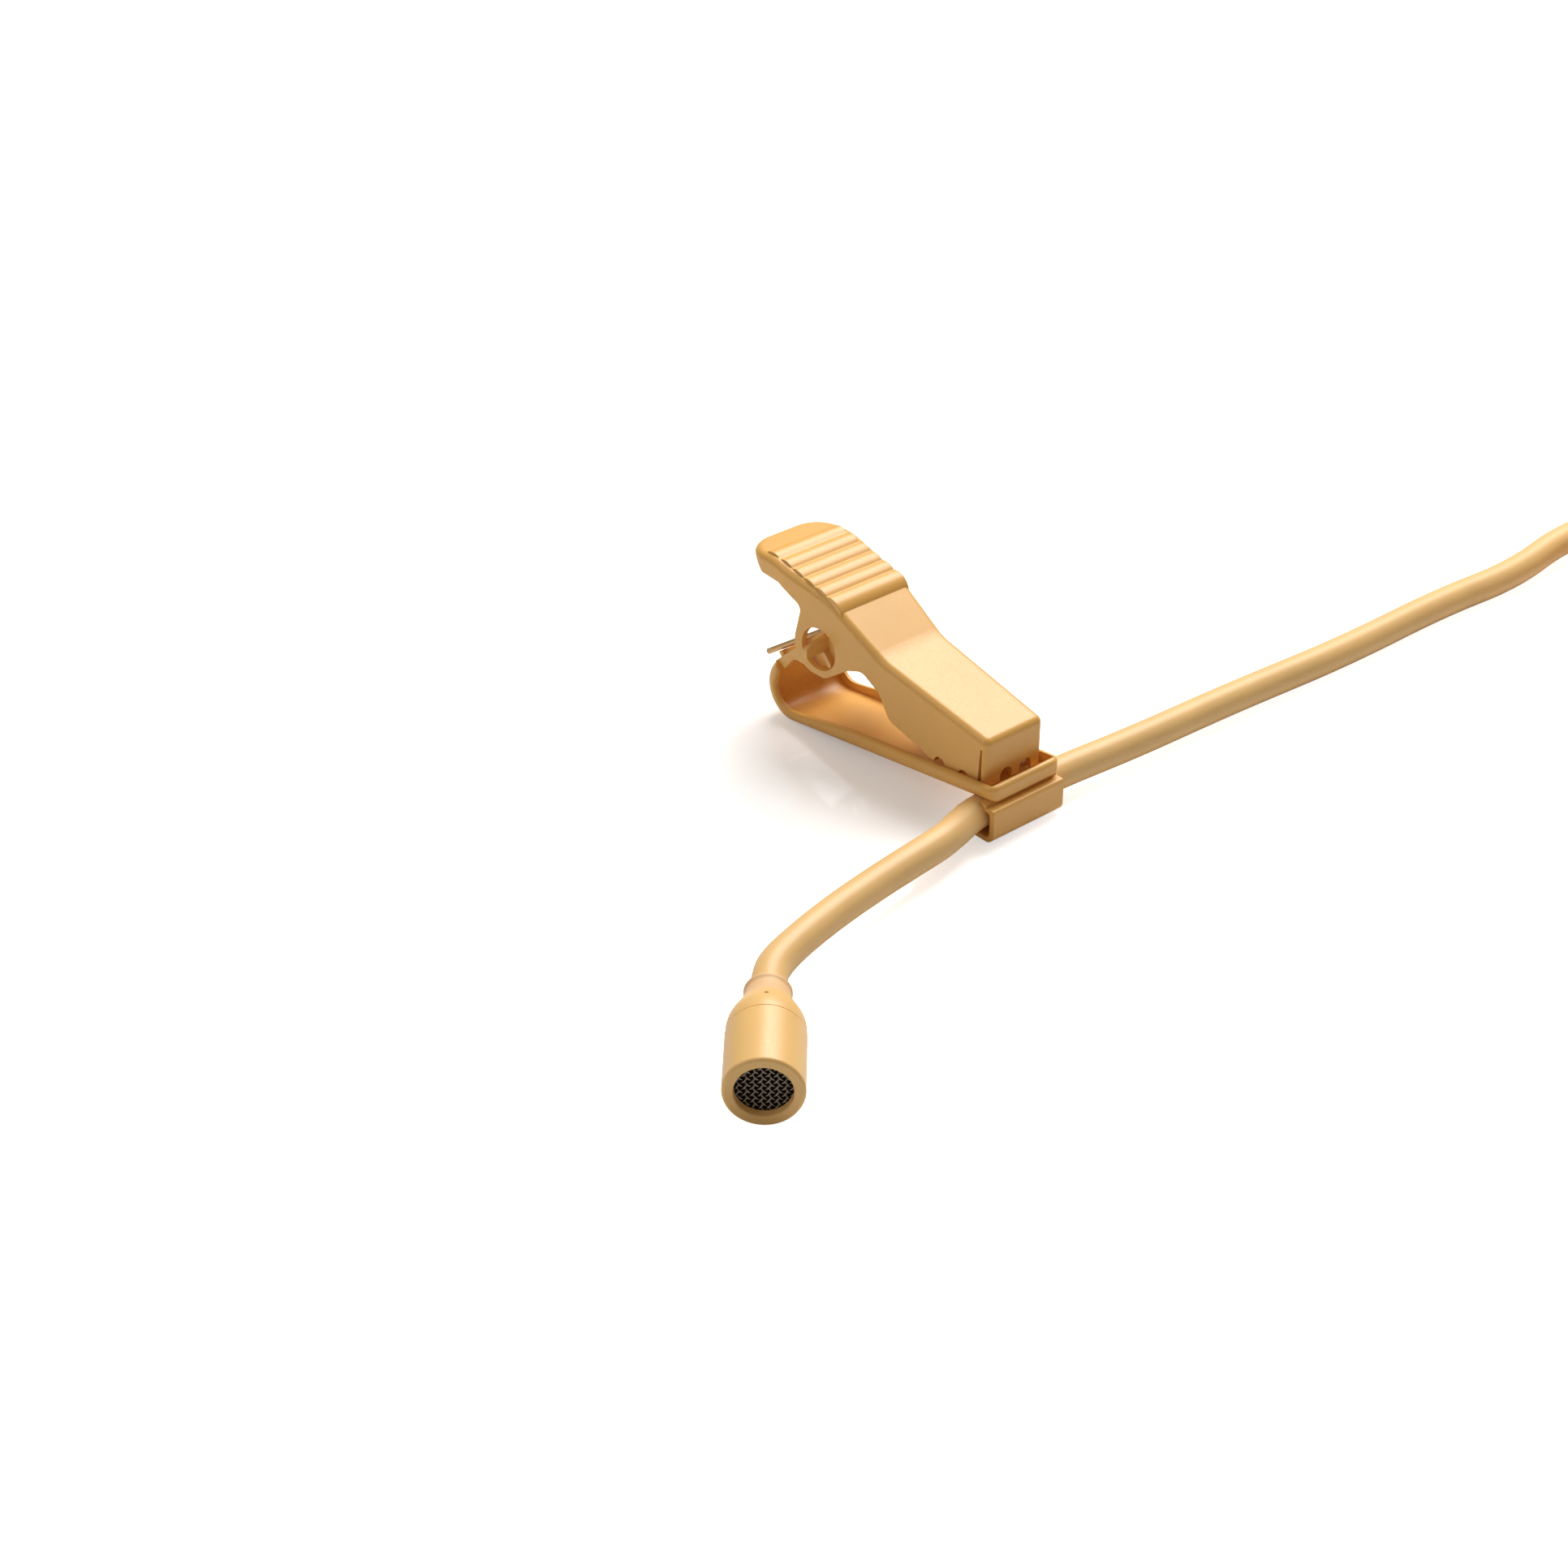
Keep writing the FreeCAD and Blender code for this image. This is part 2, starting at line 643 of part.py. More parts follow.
def lower_jaw():
    body = doc.addObject("PartDesign::Body", "lower_jaw")
    # the tray, with its upturned rims, front lip and the heel's round
    heel = (-35.77, -1.487, "heel_round")
    tray = [
        ("lip", 5.6),
        ("lip", 3.98, 0.35),
        heel,
        on_return(-7.72, 1.41),
        on_return(-7.72, 0.35),
        (-28.7, 0.8, 2.0),
        (-24.5, 1.51),
        (-17.3, 3.04),
        (-1.84, 5.19),
    ]
    grow(body, draw(body, "tray", "XZ", [tray]), "jaw_half + jaw_half")
    round_tray_edges(body)
    inner_heel = (-34.094, -0.683, "heel_round - sheet")
    trough = [
        ("lip - sheet", 7),
        ("lip - sheet", 4.48),
        inner_heel,
        on_return(-7.5, 0.86),
        on_return(-7.5, -1.5),
        (-22, 7),
    ]
    cut(body, draw(body, "trough", "XZ", [trough]), "jaw_half + jaw_half - sheet - sheet")
    # the two return arms, upright plates with lugs that turn in the lever's ears
    arms = [
        on_return(-8.2, 1.41),
        on_return(1.35, 1.41) + (0.4,),
        on_return(1.35, -0.5) + (0.4,),
        on_return(0.35, -1.75),
        on_return(-0.9, -1.75) + (0.8,),
        on_return(-3.9, -0.6) + (1.5,),
        on_return(-5.3, 0.62) + (1.0,),
        on_return(-7.4, 0.3),
        on_return(-7.6, 0.86),
        on_return(-8.2, 0.86),
    ]
    grow(body, draw(body, "arms", "XZ", [arms]), "arm_half + arm_half")
    lug = [
        on_return(-0.2, 0.75),
        on_return(0.35, 0.75),
        on_return(0.35, -2.0) + (0.2,),
        on_return(-0.2, -2.0) + (0.2,),
    ]
    grow(body, draw(body, "lugs", "XZ", [lug]), "lug_half + lug_half")
    window = [on_return(-7.52, 2.2), on_return(2.5, 2.2), on_return(2.5, -2.6), on_return(-7.52, -2.6)]
    cut(body, draw(body, "window", "XZ", [window]), "window_half + window_half")
    # the tabs bent out from the arms' ends through the ears, the near one the longer
    near_tab = [
        ("-window_half - air", "pivot_z + 1.4"),
        ("-near_tab", "pivot_z + 0.85", 0.35),
        ("-near_tab", "pivot_z - 0.25", 0.35),
        ("-window_half - air", "pivot_z - 0.1"),
    ]
    far_tab = [
        ("window_half + air", "pivot_z + 1.4"),
        ("window_half + air", "pivot_z - 0.1"),
        ("far_tab", "pivot_z - 0.15", 0.35),
        ("far_tab", "pivot_z + 1.1", 0.35),
    ]
    tabs = draw(body, "tabs", "YZ", [near_tab, far_tab], off=value("pivot_x + 0.2"))
    grow(body, tabs, "sheet")
    # the tab on the heel's end that the spring's lower leg rests on
    seat = [on_return(-8.0, 1.2), on_return(-7.45, 1.2), on_return(-7.45, 2.01), on_return(-8.0, 2.08)]
    grow(body, draw(body, "spring_seat", "XZ", [seat]), "seat_half + seat_half")
    # the strip that hangs from the lip and goes under the cable, with a seam below the lip
    strap = [
        (0.2, 4.0),
        (1.1, 4.0),
        (1.1, 3.72),
        (2.12, 3.72, 0.3),
        (2.12, 0.33, 0.9),
        (-2.5, 0.33, 1.7),
        (-2.5, 2.3),
        (-2.03, 2.3),
        (-2.03, 0.8, 1.2),
        (1.6, 0.8, 0.5),
        (1.6, 3.3, 0.3),
        (0.2, 3.3),
    ]
    pad = body.newObject("PartDesign::Pad", "strap_pad")
    pad.Profile = draw(body, "strap", "XZ", [strap])
    pad.SideType = "Two sides"
    bind(pad, "Length", "-loop_front")
    bind(pad, "Length2", "loop_length + loop_front")
    doc.recompute()
    bore = draw(body, "cable_bore", "XZ", circles=[("cable_x", "cable_z", "loop_bore")])
    cut(body, bore, THROUGH)
    keep(body, "lower_jaw", clip_place())


def round_tray_edges(body):
    """Rounds the tray's two front corners, then the folds from its floor to its rims."""
    folds, corners = [], []
    for number, edge in enumerate(body.Shape.Edges, 1):
        middle = edge.valueAt((edge.FirstParameter + edge.LastParameter) / 2)
        on_side = abs(abs(middle.y) - value("jaw_half")) < 0.01
        on_floor = abs(middle.z - 3.79 - 0.1475 * middle.x) < 0.06
        if on_side and abs(middle.x - value("lip")) < 0.01:
            corners.append(f"Edge{number}")
        elif on_side and middle.x > -25 and on_floor:
            folds.append(f"Edge{number}")
    rounds = (("tray_corners", corners, "tray_corner"), ("tray_folds", folds, "tray_fold"))
    for label, edges, radius in rounds:
        base = body.Tip
        fillet = body.newObject("PartDesign::Fillet", label)
        fillet.Base = (base, edges)
        bind(fillet, "Radius", radius)
        doc.recompute()


# Wound and free tubes


def arc_from(start, direction, finish):
    """The arc that leaves the start in the given direction and ends at the finish."""
    chord = finish - start
    across = direction - chord * (direction.dot(chord) / chord.dot(chord))
    if across.Length < 1e-7:
        return Part.LineSegment(start, finish).toShape()
    rise = chord.Length / 2 * math.tan(direction.getAngle(chord) / 2)
    middle = (start + finish) * 0.5 + across.normalize() * rise
    return Part.Arc(start, middle, finish).toShape()


def biarc(start, first, finish, last):
    """Two arcs that join two points and take up the direction at each."""
    chord = finish - start
    ends = chord.dot(first + last)
    bend = 2 * (1 - first.dot(last))
    reach = (math.sqrt(ends * ends + bend * chord.dot(chord)) - ends) / bend
    joint = (start + finish + (first - last) * reach) * 0.5
    back = arc_from(finish, last * -1, joint)
    return [arc_from(start, first, joint), back.reversed()]


def sweep(label, edges, radius):
    """A round tube along joined edges, whose volume has to match its section and length."""
    path = Part.Wire(Part.__sortEdges__(edges))
    start = edges[0].valueAt(edges[0].FirstParameter)
    direction = edges[0].tangentAt(edges[0].FirstParameter)
    section = Part.Wire(Part.makeCircle(radius, start, direction))
    solid = path.makePipeShell([section], True, False)
    plain = math.pi * radius * radius * path.Length
    print(f"{label}: length {path.Length:.1f}, volume ratio {solid.Volume / plain:.4f}")
    piece = doc.addObject("Part::Feature", label)
    piece.Shape = solid
    return piece


def cord(label, points):
    """A free stretch of cable: straight runs joined by arcs as large as the runs allow."""
    spots = [Vector(*p) for p in points]
    here, edges, radii = spots[0], [], []
    for before, corner, after in zip(spots, spots[1:], spots[2:]):
        back, ahead = before - corner, after - corner
        turn = math.pi - back.getAngle(ahead)
        reach = 0.45 * min(back.Length, ahead.Length)
        radius = reach / math.tan(turn / 2)
        radii.append(radius)
        start = corner + back.normalize() * reach
        finish = corner + ahead.normalize() * reach
        inward = (back + ahead).normalize()
        middle = corner + inward * (radius / math.cos(turn / 2) - radius)
        edges.append(Part.LineSegment(here, start).toShape())
        edges.append(Part.Arc(start, middle, finish).toShape())
        here = finish
    edges.append(Part.LineSegment(here, spots[-1]).toShape())
    print(f"{label}: radii", [round(r) for r in radii])
    keep(sweep(label, edges, value("cable") / 2), label, Placement())


COIL_TURNS = 9.5


def coil_point(turn):
    """The cable's middle after so many turns: in along the lower layer, and out again along the upper one."""
    half = COIL_TURNS / 2
    inner = value("coil_radius") - value("coil_step") * half / 2
    radius = inner + value("coil_step") * abs(turn - half)
    climb = min(max((turn - half) * 2 + 0.5, 0), 1)
    rise = value("coil_step") * (1 - math.cos(math.pi * climb)) / 2
    angle = math.pi - 2 * math.pi * turn
    x = value("coil_x") + radius * math.cos(angle)
    y = value("coil_y") + radius * math.sin(angle)
    return Vector(x, y, value("coil_z") + rise)


def coil_direction(turn):
    small = 0.001
    return (coil_point(turn + small) - coil_point(turn - small)).normalize()


def least_gap(points, apart, diameter):
    """The least gap between stretches of a tube that are at least so many points apart."""
    least = min(
        points[k].distanceToPoint(points[n])
        for k in range(len(points))
        for n in range(k + apart, len(points))
    )
    return least - diameter


def cable_coil():
    lead = value("cable")
    quarters = [k / 4 for k in range(int(COIL_TURNS * 4) + 1)]
    first, last = coil_direction(0), coil_direction(COIL_TURNS)
    edges = [Part.LineSegment(coil_point(0) - first * lead, coil_point(0)).toShape()]
    for here, there in zip(quarters, quarters[1:]):
        edges += biarc(coil_point(here), coil_direction(here), coil_point(there), coil_direction(there))
    finish = coil_point(COIL_TURNS)
    edges.append(Part.LineSegment(finish, finish + last * lead).toShape())
    keep(sweep("cable_coil", edges, value("cable") / 2), "cable_coil", Placement())
    points = [coil_point(k / 60) for k in range(int(COIL_TURNS * 60) + 1)]
    print("coil: least gap to itself", round(least_gap(points, 40, value("cable")), 3))


CABLE_FRONT = [
    (14.587, -14.594, 3.25),
    (13.169, -13.33, 3.25),
    (11.9, -11.5, 3.22),
    (10.72, -8.1, 3.14),
    (9.35, -2.9, 2.98),
    (8.25, 3.0, 2.8),
    (7.5, 8.2, 2.67),
    (6.95, 12.2, 2.56),
    (5.4, 16.4, 2.45),
    (5.4, 20.5, 2.45),
]
CABLE_REAR = [
    (5.4, 20.5, 2.45),
    (5.4, 26.9, 2.45),
    (5.95, 36.5, 2.2),
    (5.9, 50.0, 1.75),
    (6.75, 65.0, 1.5),
    (6.6, 80.0, 1.5),
    (7.7, 90.5, 1.55),
]
CABLE_TAIL = [(60.3, 92.5, 4.9), (60.3, 84.0, 4.9)]


def free_cables():
    lead = value("cable")
    enter = coil_point(0) - coil_direction(0) * lead
    leave = coil_point(COIL_TURNS) + coil_direction(COIL_TURNS) * lead
    cord("cable_front", CABLE_FRONT)
    cord("cable_rear", CABLE_REAR + [enter - coil_direction(0) * 8.5, enter])
    cord("cable_tail", [leave, leave + coil_direction(COIL_TURNS) * 7] + CABLE_TAIL)


def coil_tie():
    """A flat band round the bundle, on the side away from where the cable climbs."""
    inner, outer, top = 9.35, 27.15, value("coil_z") + value("coil_step") + 1.6
    boxes = []
    for name, grown in (("tie_outside", value("tie_sheet")), ("tie_inside", 0)):
        box = doc.addObject("Part::Box", name)
        bind(box, "Length", "tie_width" if grown else "tie_width + 1")
        bind(box, "Width", outer - inner + 2 * grown)
        bind(box, "Height", top - value("tie_sheet") + 2 * grown)
        x = value("coil_x") - box.Length.Value / 2
        y = value("coil_y") + inner - grown
        box.Placement = Placement(Vector(x, y, value("tie_sheet") - grown), Rotation())
        boxes.append(box)
    band = doc.addObject("Part::Cut", "tie_band")
    band.Base, band.Tool = boxes
    doc.recompute()
    keep(band, "coil_tie", Placement())


def torsion_spring():
    """Coils round the hinge line, one leg down along the return arm and one up under the tongue."""
    radius, half = value("spring_radius"), value("spring_half")
    down, up = math.radians(value("leg_down")), math.radians(value("leg_up"))
    first = down - math.pi / 2
    sweep_angle = first - (up + math.pi / 2 - 2 * math.pi) + 4 * math.pi
    rate = 2 * half / sweep_angle

    def place(turned_by):
        angle = first - turned_by
        x = value("pivot_x") + radius * math.cos(angle)
        z = value("pivot_z") + radius * math.sin(angle)
        return Vector(x, rate * turned_by - half, z)

    def heading(turned_by):
        angle = first - turned_by
        return Vector(radius * math.sin(angle), rate, -radius * math.cos(angle)).normalize()

    count = 11
    steps = [sweep_angle * k / count for k in range(count + 1)]
    edges = [Part.LineSegment(place(0) - heading(0) * value("lower_leg"), place(0)).toShape()]
    for here, there in zip(steps, steps[1:]):
        edges += biarc(place(here), heading(here), place(there), heading(there))
    end = place(sweep_angle)
    edges.append(Part.LineSegment(end, end + heading(sweep_angle) * value("upper_leg")).toShape())
    keep(sweep("torsion_spring", edges, value("wire") / 2), "torsion_spring", clip_place())
    points = [place(sweep_angle * k / 300) for k in range(301)]
    print("spring: least gap to itself", round(least_gap(points, 60, value("wire")), 3))


# The plug


def plug():
    place = plug_place()
    boot = [
        ("0", "collar_bore"),
        ("0", 2.1, 0.3),
        ("boot_front", 2.9),
        ("boot_front", 2.35),
        ("boot_front + 1.6", 2.35),
        ("boot_front + 1.6", 2.9),
        ("boot_front + 2.6", 2.9),
        ("boot_front + 2.6", "collar_bore"),
    ]
    turned("plug_boot", boot, place)
    wall = "handle_rear + 1.4"
    handle = [
        ("handle_rear", 2.4),
        ("handle_rear", "handle_radius", 0.8),
        ("handle_front", "handle_radius", 0.3),
        ("handle_front", "handle_bore"),
        (wall, "handle_bore"),
        (wall, 2.4),
    ]
    turned("plug_handle", handle, place)
    tube("plug_cable_end", "0", "boot_front + 7", "0", 1.5, place)
    # the body reaches from inside the handle to the shoulder that holds the locking collar
    body = [
        ("boot_front + 7.1", 1.32),
        ("boot_front + 7.1", "handle_bore - air"),
        ("handle_front", "handle_bore - air"),
        ("handle_front", "body_radius"),
        ("collar_front + 0.05", "body_radius"),
        ("collar_front + 0.05", 3.2),
        ("shank", 3.2, 0.2),
        ("shank", 1.32),
    ]
    turned("plug_body", body, place)
    collar = [
        ("collar_rear", "body_radius + 0.05"),
        ("collar_rear", "handle_radius", 0.3),
        (32.0, "handle_radius", 0.3),
        (32.0, "thread_radius - 0.4"),
        (32.6, "thread_radius - 0.4"),
    ]
    for ridge in range(5):
        start = 32.6 + 0.8 * ridge
        collar += [(start + 0.25, "thread_radius"), (start + 0.4, "thread_radius")]
        collar.append((start + 0.8, "thread_radius - 0.4"))
    collar += [("collar_front", "thread_radius - 0.4"), ("collar_front", "body_radius + 0.05")]
    turned("locking_collar", collar, place)
    # the shank: sleeve, insulator, ring, insulator and tip, each with its own tube inside the next
    sleeve_end, ring_start, ring_end, tip_start = "shank + 6.6", "shank + 7.3", "shank + 9.3", "shank + 10.0"
    rear = "boot_front + 8"
    sleeve = [
        ("shank + air", 1.3),
        ("shank + air", "shank_radius"),
        (sleeve_end, "shank_radius"),
        (sleeve_end, 1.3),
    ]
    turned("plug_sleeve", sleeve, place)
    insulator = [
        (rear, 1.02),
        (rear, 1.28),
        (sleeve_end + " + air", 1.28),
        (sleeve_end + " + air", "shank_radius"),
        (ring_start, "shank_radius"),
        (ring_start, 1.02),
    ]
    turned("plug_insulator_rear", insulator, place)
    ring = [
        (rear, 0.78),
        (rear, 1.0),
        (ring_start + " + air", 1.0),
        (ring_start + " + air", "shank_radius"),
        (ring_end, "shank_radius"),
        (ring_end, 0.78),
    ]
    turned("plug_ring", ring, place)
    insulator = [
        (rear, 0.52),
        (rear, 0.76),
        (ring_end + " + air", 0.76),
        (ring_end + " + air", "shank_radius"),
        (tip_start, "shank_radius"),
        (tip_start, 0.52),
    ]
    turned("plug_insulator_front", insulator, place)
    tip = [
        (rear, "0"),
        (rear, 0.5),
        (tip_start + " + air", 0.5),
        (tip_start + " + air", 1.4),
        (tip_start + " + 1.0", 1.15),
        (tip_start + " + 2.2", "shank_radius", 0.4),
        ("plug_tip", 0.6, 0.4),
        ("plug_tip", "0"),
    ]
    turned("plug_tip", tip, place)


def check_and_write():
    """Every object has to be sound before anything is written."""
    doc.recompute()
    for thing in doc.Objects:
        if {"Invalid", "Error"} & set(thing.State):
            raise RuntimeError(f"{thing.Name} has failed: {thing.State}")
    for part in parts:
        if part.Shape.isNull() or not part.Shape.isValid() or part.Shape.Volume < 1e-3:
            raise RuntimeError(f"{part.Label} has no sound shape")
    os.makedirs("parts", exist_ok=True)
    for part in parts:
        part.Shape.exportStep(f"parts/{part.Label}.step")
    print(len(parts), "sub-parts written")


cable_grommet()
rear_cap()
capsule_housing()
front_grille()
electret()
backplate_holes()
capsule_cable()
clip_lever()
lower_jaw()
torsion_spring()
free_cables()
cable_coil()
coil_tie()
plug()
check_and_write()
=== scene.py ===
import json
import math
import bmesh
import bpy
from mathutils import Matrix, Vector


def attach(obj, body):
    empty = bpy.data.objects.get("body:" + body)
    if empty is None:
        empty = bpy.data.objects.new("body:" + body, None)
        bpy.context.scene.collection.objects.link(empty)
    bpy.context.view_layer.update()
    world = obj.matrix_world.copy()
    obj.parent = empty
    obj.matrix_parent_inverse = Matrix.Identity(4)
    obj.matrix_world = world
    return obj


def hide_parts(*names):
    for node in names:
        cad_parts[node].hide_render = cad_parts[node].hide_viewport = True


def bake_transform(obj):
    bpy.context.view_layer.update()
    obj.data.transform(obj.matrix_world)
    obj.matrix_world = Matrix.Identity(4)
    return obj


# A lavalier microphone in beige: a capsule on a thin cable, a sprung clip and a locking plug, on a white
# glossy floor. Metres, in the frame of the CAD model.
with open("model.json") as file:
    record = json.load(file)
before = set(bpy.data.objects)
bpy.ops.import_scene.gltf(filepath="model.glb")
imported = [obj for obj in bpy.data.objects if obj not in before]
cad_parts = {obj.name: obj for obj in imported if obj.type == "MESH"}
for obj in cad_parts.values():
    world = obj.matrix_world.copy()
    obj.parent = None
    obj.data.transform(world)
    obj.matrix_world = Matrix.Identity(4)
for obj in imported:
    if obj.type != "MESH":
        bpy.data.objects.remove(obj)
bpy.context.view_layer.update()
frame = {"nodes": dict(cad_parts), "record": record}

# Where things are, as in the part's source
PIVOT = Vector((-0.01555, 0.0214, 0.00988))
CAPSULE = Vector((0.01511, -0.01506, 0.00325))
CAPSULE_HEADING = math.radians(-41.7)
CABLE_DIAMETER = 0.003
COIL = Vector((0.0347, 0.1114, 0.0021))
COIL_RADIUS = 0.018
COIL_STEP = 0.00345
COIL_TURNS = 9.5
COIL_POINTS_PER_TURN = 24


# Camera

AIM = Vector((-0.01202, 0.00980, 0))
AZIMUTH = math.radians(49.5)
ELEVATION = math.radians(32.3)
DISTANCE = 0.2579
FOCAL_PIXELS = 3500
PICTURE_PIXELS = 1932
RIGHT = Vector((math.cos(AZIMUTH), math.sin(AZIMUTH), 0))
AWAY = Vector((-math.sin(AZIMUTH), math.cos(AZIMUTH), 0))
UP = Vector((0, 0, 1))


def make_camera():
    back = -AWAY * math.cos(ELEVATION) + UP * math.sin(ELEVATION)
    data = bpy.data.cameras.new("camera")
    data.sensor_width = 36
    data.lens = data.sensor_width * FOCAL_PIXELS / PICTURE_PIXELS
    data.clip_start = 0.005
    data.clip_end = 20
    camera = bpy.data.objects.new("camera", data)
    camera.location = AIM + back * DISTANCE
    camera.rotation_mode = "QUATERNION"
    camera.rotation_quaternion = (-back).to_track_quat("-Z", "Y")
    bpy.context.scene.collection.objects.link(camera)
    bpy.context.scene.camera = camera


def lamp(name, place, size, power):
    """A square soft light that looks at the clip, placed to the camera's right, away from it and up."""
    right, away, height = place
    data = bpy.data.lights.new(name, "AREA")
    data.size = size
    data.energy = power
    light = bpy.data.objects.new(name, data)
    light.location = AIM + RIGHT * right + AWAY * away + UP * height
    light.rotation_mode = "QUATERNION"
    light.rotation_quaternion = (AIM - light.location).to_track_quat("-Z", "Y")
    bpy.context.scene.collection.objects.link(light)


# Materials


def add(tree, kind, inputs=None, **settings):
    """A shader node with its settings, and its inputs as numbers, colours or links."""
    made = tree.nodes.new("ShaderNode" + kind)
    for name, setting in settings.items():
        setattr(made, name, setting)
    for name, value in (inputs or {}).items():
        if isinstance(value, bpy.types.NodeSocket):
            tree.links.new(value, made.inputs[name])
        else:
            made.inputs[name].default_value = value
    return made


def shade(colour, factor):
    return tuple(min(c * factor, 1) for c in colour[:3]) + (1,)


def finish_of(name, colour, roughness, metallic=0.0, patch=0.06, patch_size=0.006, grain=0.0002,
              grain_height=0.000004, rough_change=0.08, coat=0.0, edge=0.0):
    """A surface whose colour drifts in soft patches, over a fine grain that also breaks up its gloss.

    Where an edge size is given, sharp edges catch the light as if they were rounded to it.
    """
    made = bpy.data.materials.new(name)
    made.use_nodes = True
    tree = made.node_tree
    surface = tree.nodes["Principled BSDF"]
    place = add(tree, "TexCoord").outputs["Object"]
    patches = add(tree, "TexNoise", {"Vector": place, "Scale": 1 / patch_size, "Detail": 4})
    tint = add(tree, "ValToRGB", {"Fac": patches.outputs["Fac"]})
    tint.color_ramp.elements[0].position = 0.3
    tint.color_ramp.elements[0].color = shade(colour, 1 - patch)
    tint.color_ramp.elements[1].position = 0.7
    tint.color_ramp.elements[1].color = shade(colour, 1 + patch)
    fine = add(tree, "TexNoise", {"Vector": place, "Scale": 1 / grain, "Detail": 3})
    gloss = add(tree, "MapRange", {"Value": fine.outputs["Fac"], "From Min": 0.3, "From Max": 0.7,
                                   "To Min": roughness - rough_change, "To Max": roughness + rough_change})
    bump = add(tree, "Bump", {"Height": fine.outputs["Fac"], "Strength": 1.0, "Distance": grain_height})
    links = [(tint.outputs["Color"], "Base Color"), (gloss.outputs["Result"], "Roughness")]
    links.append((bump.outputs["Normal"], "Normal"))
    for source, socket in links:
        tree.links.new(source, surface.inputs[socket])
    surface.inputs["Metallic"].default_value = metallic
    surface.inputs["Coat Weight"].default_value = coat
    if edge:
        soft = add(tree, "Bevel", {"Radius": edge}, samples=6)
        tree.links.new(soft.outputs["Normal"], bump.inputs["Normal"])
    return made


PAINT = finish_of("beige_paint", (0.86, 0.475, 0.125), 0.36, patch=0.03, grain=0.00016, grain_height=0.000003,
                  edge=0.00014)
# the capsule's paint: the clip's beige paint made lighter, a painted highlight
CAPSULE_PAINT_PAINTED_HIGHLIGHT = finish_of("capsule_paint_painted_highlight", (0.95, 0.60, 0.23), 0.36, patch=0.03, grain=0.00016,
                          grain_height=0.000003, edge=0.00006)
JACKET = finish_of("beige_cable", (0.90, 0.58, 0.24), 0.42, patch=0.04, grain=0.0001, grain_height=0.000004)
GROMMET = finish_of("grommet", (0.90, 0.58, 0.30), 0.5, patch=0.05)
WIRE = finish_of("mesh_wire", (0.34, 0.31, 0.28), 0.25, metallic=1.0)
CLOTH = finish_of("black_cloth", (0.012, 0.012, 0.012), 0.9)
ALUMINIUM = finish_of("bare_aluminium", (0.75, 0.75, 0.76), 0.35, metallic=1.0)
BRASS = finish_of("brass", (0.78, 0.58, 0.28), 0.3, metallic=1.0)
FILM = finish_of("film", (0.8, 0.8, 0.76), 0.25)
WHITE = finish_of("white_plastic", (0.8, 0.8, 0.77), 0.5)
BOARD = finish_of("board", (0.06, 0.22, 0.09), 0.4)
BLACK_PLASTIC = finish_of("black_plastic", (0.02, 0.02, 0.02), 0.4)
BLACK_RUBBER = finish_of("black_rubber", (0.022, 0.022, 0.022), 0.65, grain_height=0.00001)
RED = finish_of("red_wire", (0.5, 0.03, 0.02), 0.5)
SPRING = finish_of("spring_wire", (0.66, 0.44, 0.20), 0.35, metallic=0.5)
BLACK_METAL = finish_of("black_metal", (0.03, 0.03, 0.03), 0.3, coat=0.3)
NICKEL = finish_of("nickel", (0.78, 0.77, 0.75), 0.16, metallic=1.0, rough_change=0.04)
GOLD = finish_of("gold", (0.95, 0.70, 0.30), 0.18, metallic=1.0, rough_change=0.04)

MATERIALS = {
    "beige_paint": PAINT,
    "beige_cable": JACKET,
    "grommet_rubber": GROMMET,
    "mesh_wire": WIRE,
    "black_cloth": CLOTH,
    "bare_aluminium": ALUMINIUM,
    "brass": BRASS,
    "film": FILM,
    "white_plastic": WHITE,
    "board": BOARD,
    "black_plastic": BLACK_PLASTIC,
    "black_rubber": BLACK_RUBBER,
    "red_wire": RED,
    "spring_steel": SPRING,
    "black_metal": BLACK_METAL,
    "nickel": NICKEL,
    "gold": GOLD,
}


# the capsule's nodes, which take the lighter copy of the beige paint with its painted highlight
PAINTED_HIGHLIGHT_NODES = ("capsule_housing", "rear_cap")


def dress_cad_nodes():
    """Every CAD node takes the material of its slot in the record; the capsule's nodes take a lighter copy of
    the beige paint instead, a painted highlight.
    """
    for entry in frame["record"]["subparts"]:
        node = frame["nodes"][entry["node"]]
        # the capsule's nodes get the copy of the paint with the painted highlight
        painted_highlight = entry["node"] in PAINTED_HIGHLIGHT_NODES
        node.data.materials.clear()
        node.data.materials.append(CAPSULE_PAINT_PAINTED_HIGHLIGHT if painted_highlight else MATERIALS[entry["material_slot"]])


# Pieces


def link(name, data, material):
    made = bpy.data.objects.new(name, data)
    made.data.materials.append(material)
    bpy.context.scene.collection.objects.link(made)
    return made


def tube_mesh(name, points, radius, sides=16):
    """A round wire along close points, with no twist and with flat ends."""
    mesh = bmesh.new()
    rings = []
    side = None
    for k, point in enumerate(points):
        before, after = points[max(k - 1, 0)], points[min(k + 1, len(points) - 1)]
        along = (after - before).normalized()
        if side is None:
            side = along.orthogonal().normalized()
        side = (side - along * side.dot(along)).normalized()
        other = along.cross(side)
        ring = []
        for n in range(sides):
            angle = 2 * math.pi * n / sides
            ring.append(mesh.verts.new(point + (side * math.cos(angle) + other * math.sin(angle)) * radius))
        rings.append(ring)
    for low, high in zip(rings, rings[1:]):
        for n in range(sides):
            m = (n + 1) % sides
            mesh.faces.new((low[n], low[m], high[m], high[n])).smooth = True
    mesh.faces.new(list(reversed(rings[0])))
    mesh.faces.new(rings[-1])
    data = bpy.data.meshes.new(name)
    mesh.to_mesh(data)
    mesh.free()
    return data


# The cable

